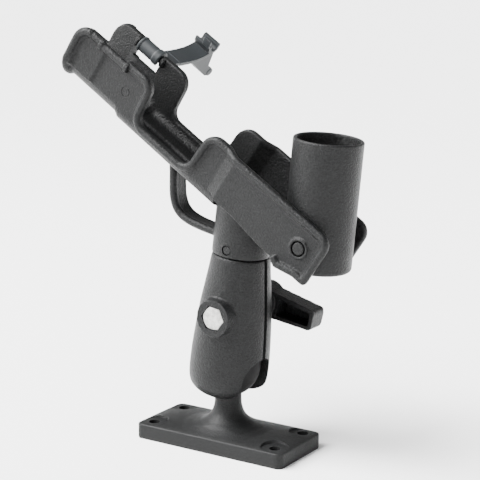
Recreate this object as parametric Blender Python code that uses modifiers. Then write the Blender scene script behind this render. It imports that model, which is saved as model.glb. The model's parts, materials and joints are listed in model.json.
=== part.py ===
"""Fishing rod holder on a ball-socket arm.

A rectangular base plate carries a rubber-covered ball. A two-part arm clamps the ball at its
lower end and a splined post at its upper end, with one bolt and a two-wing knob. The cradle on
the post holds the rod: a hinged strap closes over its front saddle and a pivoting tube at the
tail takes the rod's butt.

The model's frame has its origin at the centre of the plate's underside, +Z up, +X towards the
tube and +Y along the clamp bolt, away from the bolt's head.
"""
import math

import bmesh
import bpy
from mathutils import Matrix, Vector

MM = 0.001
GAP = 0.3 * MM                      # clearance between pieces that touch

# Base plate
PLATE_LENGTH = 101.6 * MM
PLATE_WIDTH = 48.0 * MM
PLATE_THICKNESS = 9.5 * MM
PLATE_CORNER = 4.0 * MM
HOLE_SPACING_X = 85.0 * MM
HOLE_SPACING_Y = 32.0 * MM
HOLE_RADIUS = 3.6 * MM
SPOT_FACE_RADIUS = 6.6 * MM
SPOT_FACE_HEIGHT = 9.65 * MM
NECK_RADIUS = 8.0 * MM

# Ball: 38.1 mm over its rubber
BALL_HEIGHT = 49.0 * MM
BALL_RADIUS = 19.05 * MM
BALL_COVER = 1.35 * MM
COVER_EDGE_ANGLE = math.radians(147)

# Arm, in a frame at the ball's centre with +Z along the arm
ARM_LEAN = math.radians(6.4)
ARM_TOP = 68.5 * MM
ARM_BOTTOM = -18.3 * MM
ARM_TOP_RADIUS = 16.7 * MM
ARM_MOUTH_RADIUS = 10.8 * MM
FRONT_SPLIT = -0.6 * MM            # the two halves' flat faces
REAR_SPLIT = 2.5 * MM
REAR_SHIFT = 1.7 * MM              # how far the rear half's outer surface stands back
NOTCH_HALF_WIDTH = 13.5 * MM
NOTCH_CENTRE = -4.3 * MM

# Clamp bolt: 5/16 in, hexagon 12.7 mm across flats
BOLT_HEIGHT = 33.7 * MM
BOLT_RADIUS = 3.97 * MM
BOLT_HEAD_FLATS = 12.7 * MM
BOLT_HEAD_THICKNESS = 5.3 * MM
BOLT_END = 37.3 * MM
BOSS_RADIUS = 11.0 * MM
FRONT_BOSS_FACE = 24.0 * MM
REAR_BOSS_FACE = 23.8 * MM
SPRING_POCKET_RADIUS = 9.3 * MM
SPRING_POCKET_DEPTH = 9.5 * MM

# Knob
KNOB_START = 25.3 * MM
KNOB_END = 41.0 * MM
WING_LENGTH = 37.5 * MM
WING_ROOT_HEIGHT = 17.0 * MM
WING_TIP_HEIGHT = 12.6 * MM
WING_WALL = 2.2 * MM
WING_ANGLE = math.radians(5.5)

# Splined post between arm and cradle
SPLINE_RADIUS = 10.5 * MM
SPLINE_TEETH = 16
SPLINE_FLANGE_RADIUS = 12.6 * MM
SPLINE_BOTTOM = 46.3 * MM
SPLINE_TOP = 81.0 * MM
POST_RADIUS = 17.0 * MM
POST_PIN_RADIUS = 2.7 * MM
POST_PIN_HEIGHT = 73.4 * MM

# Cradle, in a frame with +X along its channel towards the tail and +Z out of the channel
CRADLE_HEIGHT = 89.0 * MM
CRADLE_TILT = math.radians(27)
WALL = 3.0 * MM
SADDLE_HALF_WIDTH = 18.5 * MM
TAIL_HALF_WIDTH = 23.0 * MM
TAIL_GAP = 20.4 * MM
CHANNEL_FLOOR = 0.9 * MM
FLOOR_CORNER = 8.0 * MM
CHANNEL_START = -142.0 * MM
WALL_STEP_END = -15.4 * MM

# Butt tube
PIN_X = 45.0 * MM
PIN_Z = 21.5 * MM
TUBE_RADIUS = 20.0 * MM
TUBE_BORE = 17.8 * MM
TUBE_ABOVE_PIN = 59.2 * MM
TUBE_BELOW_PIN = 15.3 * MM
TUBE_TILT = math.radians(-1.5)      # from the arm's direction
PIN_HEAD_RADIUS = 3.6 * MM
PIN_HOLE_RADIUS = 4.3 * MM

# Latch
BAR_Y = 17.6 * MM
NEAR_BAR_Y = -19.4 * MM            # the near bar stands out from its wall, for the claw to catch
BAR_Z = 33.0 * MM
BAR_RADIUS = 2.5 * MM
BAR_START = -125.5 * MM
BAR_END = -105.5 * MM
WINDOW_SILL = 24.0 * MM
CLIP_RADIUS = 4.8 * MM
STRAP_THICKNESS = 2.6 * MM
STRAP_START = -121.5 * MM
STRAP_END = -108.5 * MM
FLEX_Y = 44.0 * MM
FLEX_Z = 27.6 * MM

ROUND_STEPS = 32


def clear_scene():
    for old in list(bpy.data.objects):
        bpy.data.objects.remove(old, do_unlink=True)


clear_scene()
PARTS = bpy.data.collections.new("rod_holder")
CUTTERS = bpy.data.collections.new("cutters")
bpy.context.scene.collection.children.link(PARTS)
bpy.context.scene.collection.children.link(CUTTERS)


# ---------------------------------------------------------------- materials

def material(name, colour, roughness, metallic=0.0):
    made = bpy.data.materials.new(name)
    made.use_nodes = True
    shader = made.node_tree.nodes["Principled BSDF"]
    shader.inputs["Base Color"].default_value = (*colour, 1.0)
    shader.inputs["Roughness"].default_value = roughness
    shader.inputs["Metallic"].default_value = metallic
    return made


# ---------------------------------------------------------------- placement

def empty(name, location, turn_y=0.0, parent=None):
    """A frame to hang pieces on, turned about Y."""
    made = bpy.data.objects.new(name, None)
    made.empty_display_size = 0.01
    made.location = location
    made.rotation_euler = (0.0, turn_y, 0.0)
    made.parent = parent
    PARTS.objects.link(made)
    return made


ARM = empty("arm_axis", (0, 0, BALL_HEIGHT), ARM_LEAN)
CRADLE = empty("cradle_axis", (0, 0, CRADLE_HEIGHT), CRADLE_TILT, ARM)
TUBE = empty("tube_axis", (PIN_X, 0, PIN_Z), TUBE_TILT - CRADLE_TILT, CRADLE)
BOLT = empty("bolt_axis", (0, 0, BOLT_HEIGHT), 0.0, ARM)
KNOB = empty("knob_axis", (0, 0, BOLT_HEIGHT), WING_ANGLE, ARM)
LATCH = empty("latch_axis", (0, BAR_Y, BAR_Z), 0.0, CRADLE)


def place(thing, frame, collection=PARTS):
    thing.parent = frame
    if thing.name not in collection.objects:
        collection.objects.link(thing)
    return thing


def finish(thing, frame, look, smooth=35):
    """Make a solid a named sub-part: give it its frame, its material and smooth shading."""
    place(thing, frame)
    thing.data.materials.clear()
    thing.data.materials.append(look)
    thing.data.shade_smooth()
    thing.data.set_sharp_from_angle(angle=math.radians(smooth))
    return thing


def tool(thing, frame=None):
    """Make a solid a Boolean operand, which is not a part."""
    place(thing, frame, CUTTERS)
    thing.hide_render = True
    thing.display_type = 'WIRE'
    return thing


def boolean(thing, operand, operation, solver='EXACT'):
    step = thing.modifiers.new(operation.lower() + "_" + operand.name, 'BOOLEAN')
    step.operation = operation
    step.solver = solver
    step.object = operand
    return thing


def cut(thing, operand):
    return boolean(thing, operand, 'DIFFERENCE')


def join(thing, operand):
    return boolean(thing, operand, 'UNION')


def weld(thing, operand):
    """Join where many faces lie in one plane."""
    return boolean(thing, operand, 'UNION', 'MANIFOLD')


def carve(thing, operand):
    """Cut a piece made by weld."""
    return boolean(thing, operand, 'DIFFERENCE', 'MANIFOLD')


def common(thing, operand):
    return boolean(thing, operand, 'INTERSECT')


def bevel(thing, width, segments=2, angle=40):
    step = thing.modifiers.new("edges", 'BEVEL')
    step.width = width
    step.segments = segments
    step.limit_method = 'ANGLE'
    step.angle_limit = math.radians(angle)
    return thing


# ---------------------------------------------------------------- shapes

def mesh_object(name, build):
    """A new mesh object filled by build(bm)."""
    bm = bmesh.new()
    build(bm)
    data = bpy.data.meshes.new(name)
    bm.to_mesh(data)
    bm.free()
    return bpy.data.objects.new(name, data)


def cylinder(name, radius, start, end, axis='Z', centre=(0, 0, 0), steps=ROUND_STEPS, end_radius=None):
    """A cylinder, or a cone, from start to end along an axis through centre."""
    turn = {'Z': Matrix.Identity(4),
            'X': Matrix.Rotation(math.pi / 2, 4, 'Y'),
            'Y': Matrix.Rotation(-math.pi / 2, 4, 'X')}[axis]
    middle = Vector({'Z': (0, 0, 1), 'X': (1, 0, 0), 'Y': (0, 1, 0)}[axis]) * (start + end) / 2
    matrix = Matrix.Translation(Vector(centre) + middle) @ turn
    last = radius if end_radius is None else end_radius

    def build(bm):
        bmesh.ops.create_cone(bm, cap_ends=True, segments=steps, radius1=radius, radius2=last,
                              depth=end - start, matrix=matrix)
    return mesh_object(name, build)


def hexagon(name, flats, start, end):
    """A hexagonal prism along Y with a corner up."""
    made = cylinder(name, flats / math.sqrt(3), start, end, 'Y', (0, 0, 0), 6)
    made.data.transform(Matrix.Rotation(math.pi / 6, 4, 'Y'))
    return made


def box(name, low, high):
    low, high = Vector(low), Vector(high)
    size = high - low
    matrix = Matrix.Translation((low + high) / 2) @ Matrix.Diagonal((*size, 1.0))
    return mesh_object(name, lambda bm: bmesh.ops.create_cube(bm, size=1.0, matrix=matrix))


def sphere(name, radius, centre=(0, 0, 0), steps=ROUND_STEPS):
    matrix = Matrix.Translation(centre)
    return mesh_object(name, lambda bm: bmesh.ops.create_uvsphere(
        bm, u_segments=steps, v_segments=steps // 2, radius=radius, matrix=matrix))


def turned(name, profile, steps=ROUND_STEPS):
    """A profile of (radius, height) points, outer side top to bottom, turned about Z."""
    def build(bm):
        points = [bm.verts.new((radius, 0, height)) for radius, height in profile]
        for first, second in zip(points, points[1:]):
            bm.edges.new((first, second))
    made = mesh_object(name, build)
    screw = made.modifiers.new("turn", 'SCREW')
    screw.steps = steps
    screw.render_steps = steps
    screw.use_merge_vertices = True
    screw.merge_threshold = 0.00001
    return made


def arc(centre, radius, start, end, steps):
    """Points on an arc, angles in degrees."""
    points = []
    for step in range(steps + 1):
        angle = math.radians(start + (end - start) * step / steps)
        points.append((centre[0] + radius * math.cos(angle), centre[1] + radius * math.sin(angle)))
    return points


def rounded(corners, steps=4, closed=True):
    """An outline through (x, y, radius) corners, each rounded to its radius."""
    count = len(corners)
    points = []
    for index, (x, y, radius) in enumerate(corners):
        here = Vector((x, y))
        if radius == 0 or (not closed and index in (0, count - 1)):
            points.append((x, y))
            continue
        before = Vector(corners[index - 1][:2]) - here
        after = Vector(corners[(index + 1) % count][:2]) - here
        half = before.angle(after) / 2
        back = radius / math.tan(half)
        first = here + before.normalized() * back
        middle = here + (before.normalized() + after.normalized()).normalized() * radius / math.sin(half)
        sweep = math.pi - 2 * half
        turn = -1 if before.x * after.y - before.y * after.x < 0 else 1
        ray = first - middle
        for step in range(steps + 1):
            angle = -turn * sweep * step / steps
            points.append((middle.x + ray.x * math.cos(angle) - ray.y * math.sin(angle),
                           middle.y + ray.x * math.sin(angle) + ray.y * math.cos(angle)))
    return points


PLANES = {'XY': Matrix.Identity(4),
          'XZ': Matrix(((1, 0, 0, 0), (0, 0, -1, 0), (0, 1, 0, 0), (0, 0, 0, 1))),
          'YZ': Matrix(((0, 0, 1, 0), (1, 0, 0, 0), (0, 1, 0, 0), (0, 0, 0, 1)))}


def mesh_of(curve, name):
    """Turn a curve object into a mesh object with welded caps."""
    bpy.context.scene.collection.objects.link(curve)
    bpy.context.view_layer.update()
    graph = bpy.context.evaluated_depsgraph_get()
    data = bpy.data.meshes.new_from_object(curve.evaluated_get(graph))
    place_matrix = curve.matrix_world.copy()
    bpy.data.objects.remove(curve, do_unlink=True)
    bm = bmesh.new()
    bm.from_mesh(data)
    bmesh.ops.remove_doubles(bm, verts=bm.verts, dist=0.000005)
    bmesh.ops.transform(bm, matrix=place_matrix, verts=bm.verts)
    bmesh.ops.recalc_face_normals(bm, faces=bm.faces)
    bm.to_mesh(data)
    bm.free()
    data.name = name
    return bpy.data.objects.new(name, data)


def extruded(name, outline, plane, start, end):
    """A flat outline given in a plane, extruded across it from start to end."""
    data = bpy.data.curves.new(name, 'CURVE')
    data.dimensions = '2D'
    data.fill_mode = 'BOTH'
    data.extrude = (end - start) / 2
    line = data.splines.new('POLY')
    line.points.add(len(outline) - 1)
    for point, (u, v) in zip(line.points, outline):
        point.co = (u, v, 0, 1)
    line.use_cyclic_u = True
    curve = bpy.data.objects.new(name + "_outline", data)
    middle = (start + end) / 2
    if plane == 'XZ':
        middle = -middle
    curve.matrix_world = PLANES[plane] @ Matrix.Translation((0, 0, middle))
    return mesh_of(curve, name)


def bent_rod(name, path, radius, resolution=1, width=None):
    """A round rod along a path, or a flat strip of the given width across Y."""
    data = bpy.data.curves.new(name, 'CURVE')
    data.dimensions = '3D'
    data.bevel_depth = radius
    data.bevel_resolution = resolution
    data.use_fill_caps = True
    line = data.splines.new('POLY')
    line.points.add(len(path) - 1)
    for point, co in zip(line.points, path):
        point.co = (*co, 1)
    curve = bpy.data.objects.new(name + "_path", data)
    made = mesh_of(curve, name)
    if width is not None:
        for vertex in made.data.vertices:
            vertex.co.y = math.copysign(width / 2, vertex.co.y) if abs(vertex.co.y) > radius / 4 else 0
    return made


# ---------------------------------------------------------------- base

def make_base_plate(look):
    outline = rounded([(x * PLATE_LENGTH / 2, y * PLATE_WIDTH / 2, PLATE_CORNER)
                       for x, y in ((-1, -1), (1, -1), (1, 1), (-1, 1))])
    plate = extruded("base_plate", outline, 'XY', 0.0, PLATE_THICKNESS)
    bevel(plate, 0.8 * MM)

    core = BALL_RADIUS - BALL_COVER - GAP
    neck_angle = math.pi - math.asin(NECK_RADIUS / core)
    profile = []
    for step in range(10):
        angle = neck_angle * step / 9
        profile.append((core * math.sin(angle), BALL_HEIGHT + core * math.cos(angle)))
    profile[0] = (0, BALL_HEIGHT + core)
    profile += [(NECK_RADIUS, 25 * MM), (8.6 * MM, 21 * MM), (10.2 * MM, 17.6 * MM), (12.8 * MM, 15 * MM),
                (16.5 * MM, 13.2 * MM), (23 * MM, 12 * MM), (36 * MM, 11 * MM), (60 * MM, 9.4 * MM),
                (60 * MM, 3 * MM), (0, 3 * MM)]
    crown = tool(turned("neck_and_ball_core", profile))
    inset = 1.0 * MM
    limit = tool(box("crown_limit", (-PLATE_LENGTH / 2 + inset, -PLATE_WIDTH / 2 + inset, 2 * MM),
                     (PLATE_LENGTH / 2 - inset, PLATE_WIDTH / 2 - inset, 80 * MM)))
    common(crown, limit)
    weld(plate, crown)
    for x in (-1, 1):
        for y in (-1, 1):
            side = "%s_%s" % ("tail" if x > 0 else "front", "far" if y > 0 else "near")
            centre = (x * HOLE_SPACING_X / 2, y * HOLE_SPACING_Y / 2, 0)
            carve(plate, tool(cylinder("spot_face_" + side, SPOT_FACE_RADIUS, SPOT_FACE_HEIGHT, 16 * MM,
                                     centre=centre, steps=24)))
            carve(plate, tool(cylinder("screw_hole_" + side, HOLE_RADIUS, -2 * MM, 12 * MM,
                                     centre=centre, steps=20)))
            low, high = SPOT_FACE_HEIGHT - 0.9 * MM, SPOT_FACE_HEIGHT + 0.3 * MM
            carve(plate, tool(cylinder("chamfer_" + side, HOLE_RADIUS - 0.2 * MM, low, high, centre=centre,
                                     steps=20, end_radius=HOLE_RADIUS + 1.0 * MM)))
    return finish(plate, None, look)


def make_ball_cover(look):
    """The rubber skin: a spherical shell, open round the neck."""
    inner = BALL_RADIUS - BALL_COVER
    angles = [COVER_EDGE_ANGLE * step / 10 for step in range(11)]
    outer_arc = [(BALL_RADIUS * math.sin(a), BALL_RADIUS * math.cos(a)) for a in angles]
    inner_arc = [(inner * math.sin(a), inner * math.cos(a)) for a in reversed(angles)]
    outer_arc[0] = (0, BALL_RADIUS)
    inner_arc[-1] = (0, inner)
    cover = turned("ball_cover", outer_arc + inner_arc)
    finish(cover, None, look)
    cover.location = (0, 0, BALL_HEIGHT)
    return cover


# ---------------------------------------------------------------- arm

def arm_profile():
    """The arm's outer shape, top to bottom: a slim top that swells to a ball socket."""
    points = [(0, ARM_TOP), (ARM_TOP_RADIUS - 0.5 * MM, ARM_TOP), (ARM_TOP_RADIUS, ARM_TOP - 0.5 * MM)]
    points += [(r * MM, z * MM) for r, z in ((18.0, 58), (19.5, 47), (21.0, 35), (22.1, 22), (22.9, 10),
                                             (23.1, 1), (22.9, -6), (22.0, -10.3), (20.0, -13.4),
                                             (16.8, -15.9), (13.4, -17.6))]
    return points + [(11.6 * MM, ARM_BOTTOM), (0, ARM_BOTTOM)]


def make_arm_half(name, side, look):
    """One clamshell half. side is -1 for the bolt head's half and +1 for the knob's."""
    half = turned(name, arm_profile())
    if side > 0:
        shift = half.modifiers.new("stand_back", 'DISPLACE')
        shift.direction = 'Y'
        shift.mid_level = 0.0
        shift.strength = REAR_SHIFT
    tag = "_front" if side < 0 else "_rear"
    face = FRONT_BOSS_FACE if side < 0 else REAR_BOSS_FACE
    reach = 60 * MM
    near, far = (-face, 0.0) if side < 0 else (0.0, face)
    boss = tool(cylinder("bolt_boss" + tag, BOSS_RADIUS, near, far, 'Y', (0, 0, BOLT_HEIGHT)), ARM)
    join(half, bevel(boss, 1.0 * MM))
    low, high = (FRONT_SPLIT, reach) if side < 0 else (-reach, REAR_SPLIT)
    cut(half, tool(box("other_side" + tag, (-reach, low, -reach), (reach, high, 2 * reach)), ARM))
    cut(half, tool(sphere("ball_socket" + tag, BALL_RADIUS + GAP), ARM))
    cut(half, tool(cylinder("ball_mouth" + tag, ARM_MOUTH_RADIUS, -30 * MM, -8 * MM, steps=32), ARM))
    notch = rounded([(-NOTCH_HALF_WIDTH, -40 * MM, 0), (NOTCH_HALF_WIDTH, -40 * MM, 0),
                     (NOTCH_HALF_WIDTH, NOTCH_CENTRE + NOTCH_HALF_WIDTH, NOTCH_HALF_WIDTH * 0.98),
                     (-NOTCH_HALF_WIDTH, NOTCH_CENTRE + NOTCH_HALF_WIDTH, NOTCH_HALF_WIDTH * 0.98)], 8)
    cut(half, tool(extruded("side_notch" + tag, notch, 'YZ', 6 * MM, 40 * MM), ARM))
    socket = cylinder("post_socket" + tag, SPLINE_RADIUS + 0.45 * MM, 47 * MM, 75 * MM, steps=32)
    cut(half, tool(socket, ARM))
    cut(half, tool(cylinder("flange_groove" + tag, SPLINE_FLANGE_RADIUS + 0.4 * MM,
                            SPLINE_BOTTOM - GAP, SPLINE_BOTTOM + 3.7 * MM, steps=32), ARM))
    centre = (0, 0, BOLT_HEIGHT)
    cut(half, tool(cylinder("spring_pocket" + tag, SPRING_POCKET_RADIUS, -SPRING_POCKET_DEPTH,
                            SPRING_POCKET_DEPTH, 'Y', centre, 32), ARM))
    cut(half, tool(cylinder("bolt_hole" + tag, BOLT_RADIUS + GAP, -40 * MM, 40 * MM, 'Y', centre, 24), ARM))
    if side < 0:
        depth = BOLT_HEAD_THICKNESS + 0.6 * MM
        pocket = hexagon("head_pocket", BOLT_HEAD_FLATS + 0.7 * MM, -face - 5 * MM, -face + depth)
        cut(half, tool(pocket, BOLT))
    return finish(half, ARM, look)


def make_bolt(look):
    """Hexagon head and shank, along Y."""
    face = FRONT_BOSS_FACE - 0.3 * MM
    head = hexagon("clamp_bolt", BOLT_HEAD_FLATS, -face, -face + BOLT_HEAD_THICKNESS)
    dome = tool(sphere("head_chamfer", 13.2 * MM, (0, -face + 11.6 * MM, 0), 32), BOLT)
    common(head, dome)
    shank = tool(cylinder("bolt_shank", BOLT_RADIUS, -face + BOLT_HEAD_THICKNESS - 1 * MM, BOLT_END, 'Y',
                          (0, 0, 0), 24), BOLT)
    join(head, bevel(shank, 0.6 * MM, 1))
    return finish(head, BOLT, look)


def make_spring(look):
    """A compression spring round the bolt, between the arm's halves."""
    turns = 5
    radius = 7.2 * MM
    length = 2 * SPRING_POCKET_DEPTH - 2.6 * MM
    path = []
    for step in range(turns * 14 + 1):
        angle = 2 * math.pi * step / 14
        along = -length / 2 + length * step / (turns * 14)
        path.append((radius * math.cos(angle), along, radius * math.sin(angle)))
    return finish(bent_rod("clamp_spring", path, 0.65 * MM, 1), BOLT, look)


def make_washer(look):
    washer = cylinder("knob_washer", 9.0 * MM, REAR_BOSS_FACE + GAP, KNOB_START - GAP, 'Y', (0, 0, 0), 32)
    cut(washer, tool(cylinder("washer_hole", BOLT_RADIUS + GAP, 10 * MM, 30 * MM, 'Y', (0, 0, 0), 24), BOLT))
    return finish(washer, BOLT, look)


def make_knob(look):
    """A round hub with two tapering wings, each hollow on the side that faces the arm."""
    root = WING_ROOT_HEIGHT / 2
    tip = WING_TIP_HEIGHT / 2
    outline = rounded([(-WING_LENGTH, -tip, 2.5 * MM), (0, -root, 20 * MM), (WING_LENGTH, -tip, 2.5 * MM),
                       (WING_LENGTH, tip, 2.5 * MM), (0, root, 20 * MM), (-WING_LENGTH, tip, 2.5 * MM)])
    knob = extruded("clamp_knob", outline, 'XZ', KNOB_START + 2.5 * MM, KNOB_END)
    bevel(knob, 1.2 * MM)
    hub = tool(cylinder("knob_hub", 10.6 * MM, KNOB_START, KNOB_END + 1.0 * MM, 'Y', (0, 0, 0), 32), BOLT)
    join(knob, bevel(hub, 1.0 * MM))
    for side in (-1, 1):
        name = "wing_hollow_" + ("tail" if side > 0 else "front")
        inner = [(side * 12 * MM, -root + 3.6 * MM, 1.5 * MM),
                 (side * (WING_LENGTH - WING_WALL), -tip + WING_WALL, 1.5 * MM),
                 (side * (WING_LENGTH - WING_WALL), tip - WING_WALL, 1.5 * MM),
                 (side * 12 * MM, root - 3.6 * MM, 1.5 * MM)]
        if side < 0:
            inner.reverse()
        hollow = extruded(name, rounded(inner, 3), 'XZ', KNOB_START - 2 * MM, KNOB_END - 2.4 * MM)
        cut(knob, tool(hollow, KNOB))
    pocket = hexagon("nut_pocket", BOLT_HEAD_FLATS + 0.6 * MM, KNOB_START - 2 * MM, KNOB_START + 7.8 * MM)
    cut(knob, tool(pocket, KNOB))
    cut(knob, tool(cylinder("shank_space", BOLT_RADIUS + 0.5 * MM, KNOB_START, KNOB_END - 2 * MM, 'Y',
                            (0, 0, 0), 24), KNOB))
    return finish(knob, KNOB, look)


def make_knob_nut(look):
    nut = hexagon("knob_nut", BOLT_HEAD_FLATS, KNOB_START + 0.4 * MM, KNOB_START + 7.4 * MM)
    cut(nut, tool(cylinder("nut_thread", BOLT_RADIUS + GAP, 0, 60 * MM, 'Y', (0, 0, 0), 24), KNOB))
    return finish(nut, KNOB, look)


# ---------------------------------------------------------------- post

def make_spline_post(look):
    """The toothed shaft under the cradle, with the flange that keeps it in the arm."""
    outline = []
    for tooth in range(SPLINE_TEETH):
        for part, radius in ((0.0, SPLINE_RADIUS), (0.3, SPLINE_RADIUS),
                             (0.5, SPLINE_RADIUS - 0.7 * MM), (0.8, SPLINE_RADIUS - 0.7 * MM)):
            angle = 2 * math.pi * (tooth + part) / SPLINE_TEETH
            outline.append((radius * math.cos(angle), radius * math.sin(angle)))
    post = extruded("spline_post", outline, 'XY', SPLINE_BOTTOM + 1 * MM, SPLINE_TOP - GAP)
    flange = cylinder("post_flange", SPLINE_FLANGE_RADIUS, SPLINE_BOTTOM, SPLINE_BOTTOM + 3.2 * MM)
    join(post, bevel(tool(flange, ARM), 0.5 * MM, 1))
    cut(post, tool(cylinder("cross_hole", POST_PIN_RADIUS + GAP, -20 * MM, 20 * MM, 'Y',
                            (0, 0, POST_PIN_HEIGHT), 20), ARM))
    return finish(post, ARM, look)


def make_post_pin(look):
    pin = cylinder("post_pin", POST_PIN_RADIUS, -16.4 * MM, 16.4 * MM, 'Y', (0, 0, POST_PIN_HEIGHT), 20)
    return finish(bevel(pin, 0.4 * MM, 1), ARM, look)


# ---------------------------------------------------------------- cradle

def from_arm(x, z):
    """A point of the arm's XZ plane in the cradle's."""
    rise = z - CRADLE_HEIGHT
    return (x * math.cos(CRADLE_TILT) - rise * math.sin(CRADLE_TILT),
            x * math.sin(CRADLE_TILT) + rise * math.cos(CRADLE_TILT))


def top_edge():
    """The walls' upper edge, mouth to tail: saddle, low trough, hump, straight run to the tail."""
    return [(x * MM, z * MM, r * MM) for x, z, r in (
        (-142.0, 9.0, 0), (-145.3, 18.0, 4), (-145.3, 36.8, 10), (-83.4, 36.8, 9), (-82.2, 9.8, 6.5),
        (-40.5, 9.8, 6.5), (-38.5, 38.3, 9.5), (59.8, 38.3, 9), (59.8, 6.2, 2.5), (51.0, 6.2, 3))]


def lower_edge():
    """The walls' lower edge, tail to mouth."""
    return [(x * MM, z * MM, r * MM) for x, z, r in (
        (38.5, 2.8, 2), (33.8, 5.6, 2), (24.0, 5.6, 8), (2.0, 7.8, 8), (-15.4, 7.8, 0), (-15.4, 9.0, 0))]


def wall_plan(side):
    """One wall from above: straight at the saddle, stepping out to the wider tail."""
    inner, outer = SADDLE_HALF_WIDTH - WALL, SADDLE_HALF_WIDTH
    points = [(-146, inner + 1.6 * MM), (-128, inner + 1.0 * MM), (-121.5, inner), (-23.4, inner),
              (-15.4, TAIL_GAP), (61, TAIL_GAP), (61, TAIL_HALF_WIDTH), (-14.6, TAIL_HALF_WIDTH),
              (-22.2, outer), (-121, outer), (-123, outer + 1.0 * MM), (-146, outer + 1.6 * MM)]
    placed = [(x * MM, side * y) for x, y in points]
    return placed if side > 0 else placed[::-1]


def channel_section():
    """The channel's U in the YZ plane, with rounded lower corners."""
    floor = CHANNEL_FLOOR
    outer, inner = SADDLE_HALF_WIDTH, SADDLE_HALF_WIDTH - WALL
    radius = FLOOR_CORNER
    bottom_right = arc((outer - radius, floor + radius), radius, 0, -90, 5)
    bottom_left = arc((-outer + radius, floor + radius), radius, -90, -180, 5)
    inside = radius - WALL
    back_left = arc((-inner + inside, floor + WALL + inside), inside, 180, 270, 5)
    back_right = arc((inner - inside, floor + WALL + inside), inside, 270, 360, 5)
    rim = floor + radius + 0.2 * MM
    return ([(outer, rim)] + bottom_right + bottom_left + [(-outer, rim), (-inner, rim)]
            + back_left + back_right + [(inner, rim)])


def add_floor(cradle):
    """The floor and rounded lower corners of the saddle and of the trough behind it."""
    weld(cradle, tool(extruded("channel_floor", channel_section()[::-1], 'YZ',
                               CHANNEL_START, WALL_STEP_END), CRADLE))


def add_post(cradle):
    """The post's socket under the cradle, hollowed where the butt tube lies when folded in."""
    post = cylinder("post", POST_RADIUS, ARM_TOP + 0.4 * MM - CRADLE_HEIGHT, 12 * MM)
    post.data.transform(Matrix.Rotation(-CRADLE_TILT, 4, 'Y'))
    tool(post, CRADLE)
    shelf_start = WALL_STEP_END - 1 * MM
    shelf = [(shelf_start, 8.3 * MM), (2 * MM, 8.3 * MM), (24 * MM, 6.1 * MM), (24 * MM, 14 * MM),
             (shelf_start, 14 * MM)]
    inside = (TAIL_GAP + TAIL_HALF_WIDTH) / 2
    join(post, tool(extruded("tail_shelf", shelf, 'XZ', -inside, inside), CRADLE))
    clear = TUBE_RADIUS + 0.45 * MM
    folded_end = PIN_X - TUBE_ABOVE_PIN - 0.8 * MM
    cut(post, tool(cylinder("folded_tube", clear, folded_end, 70 * MM, 'X', (0, 0, PIN_Z), 64), CRADLE))
    cut(post, tool(box("over_shelf", (folded_end, -TAIL_GAP, PIN_Z - 4 * MM), (70 * MM, TAIL_GAP, 70 * MM)),
                   CRADLE))
    cut(post, tool(box("over_trough", (-70 * MM, -15 * MM, CHANNEL_FLOOR + WALL / 2),
                       (folded_end + 0.1 * MM, 15 * MM, 70 * MM)), CRADLE))
    weld(cradle, post)


def add_finger_loop(cradle):
    """A flat strip that bends from the trough's underside down to the post."""
    points = [(-50.6, 117), (-49.2, 108), (-48.3, 100), (-47.2, 93), (-44.6, 87.4), (-40.5, 83.6),
              (-35, 81.4), (-28, 80.0), (-21, 79.2), (-13, 78.6)]
    half_thickness = 2.3 * MM
    outline_out, outline_in = [], []
    path = [Vector(from_arm(x * MM, z * MM)) for x, z in points]
    for index, here in enumerate(path):
        along = (path[min(index + 1, len(path) - 1)] - path[max(index - 1, 0)]).normalized()
        across = Vector((-along.y, along.x)) * half_thickness
        outline_out.append(tuple(here + across))
        outline_in.append(tuple(here - across))
    loop = extruded("finger_loop", outline_out + outline_in[::-1], 'XZ', -5.5 * MM, 5.5 * MM)
    weld(cradle, tool(bevel(loop, 0.9 * MM, 1, 50), CRADLE))


def add_bars(cradle):
    """The far wall's opening and its bar, and the near wall's bar along its lowered edge."""
    window = box("far_window", (BAR_START, 10 * MM, WINDOW_SILL), (BAR_END, 30 * MM, 60 * MM))
    dip = box("near_dip", (BAR_START, -30 * MM, BAR_Z), (BAR_END, -10 * MM, 60 * MM))
    carve(cradle, tool(window, CRADLE))
    carve(cradle, tool(dip, CRADLE))
    start, end = BAR_START - 2 * MM, BAR_END + 2 * MM
    for name, y in (("latch_bar_far", BAR_Y), ("latch_bar_near", NEAR_BAR_Y)):
        weld(cradle, tool(cylinder(name, BAR_RADIUS, start, end, 'X', (0, y, BAR_Z), 16), CRADLE))


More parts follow.
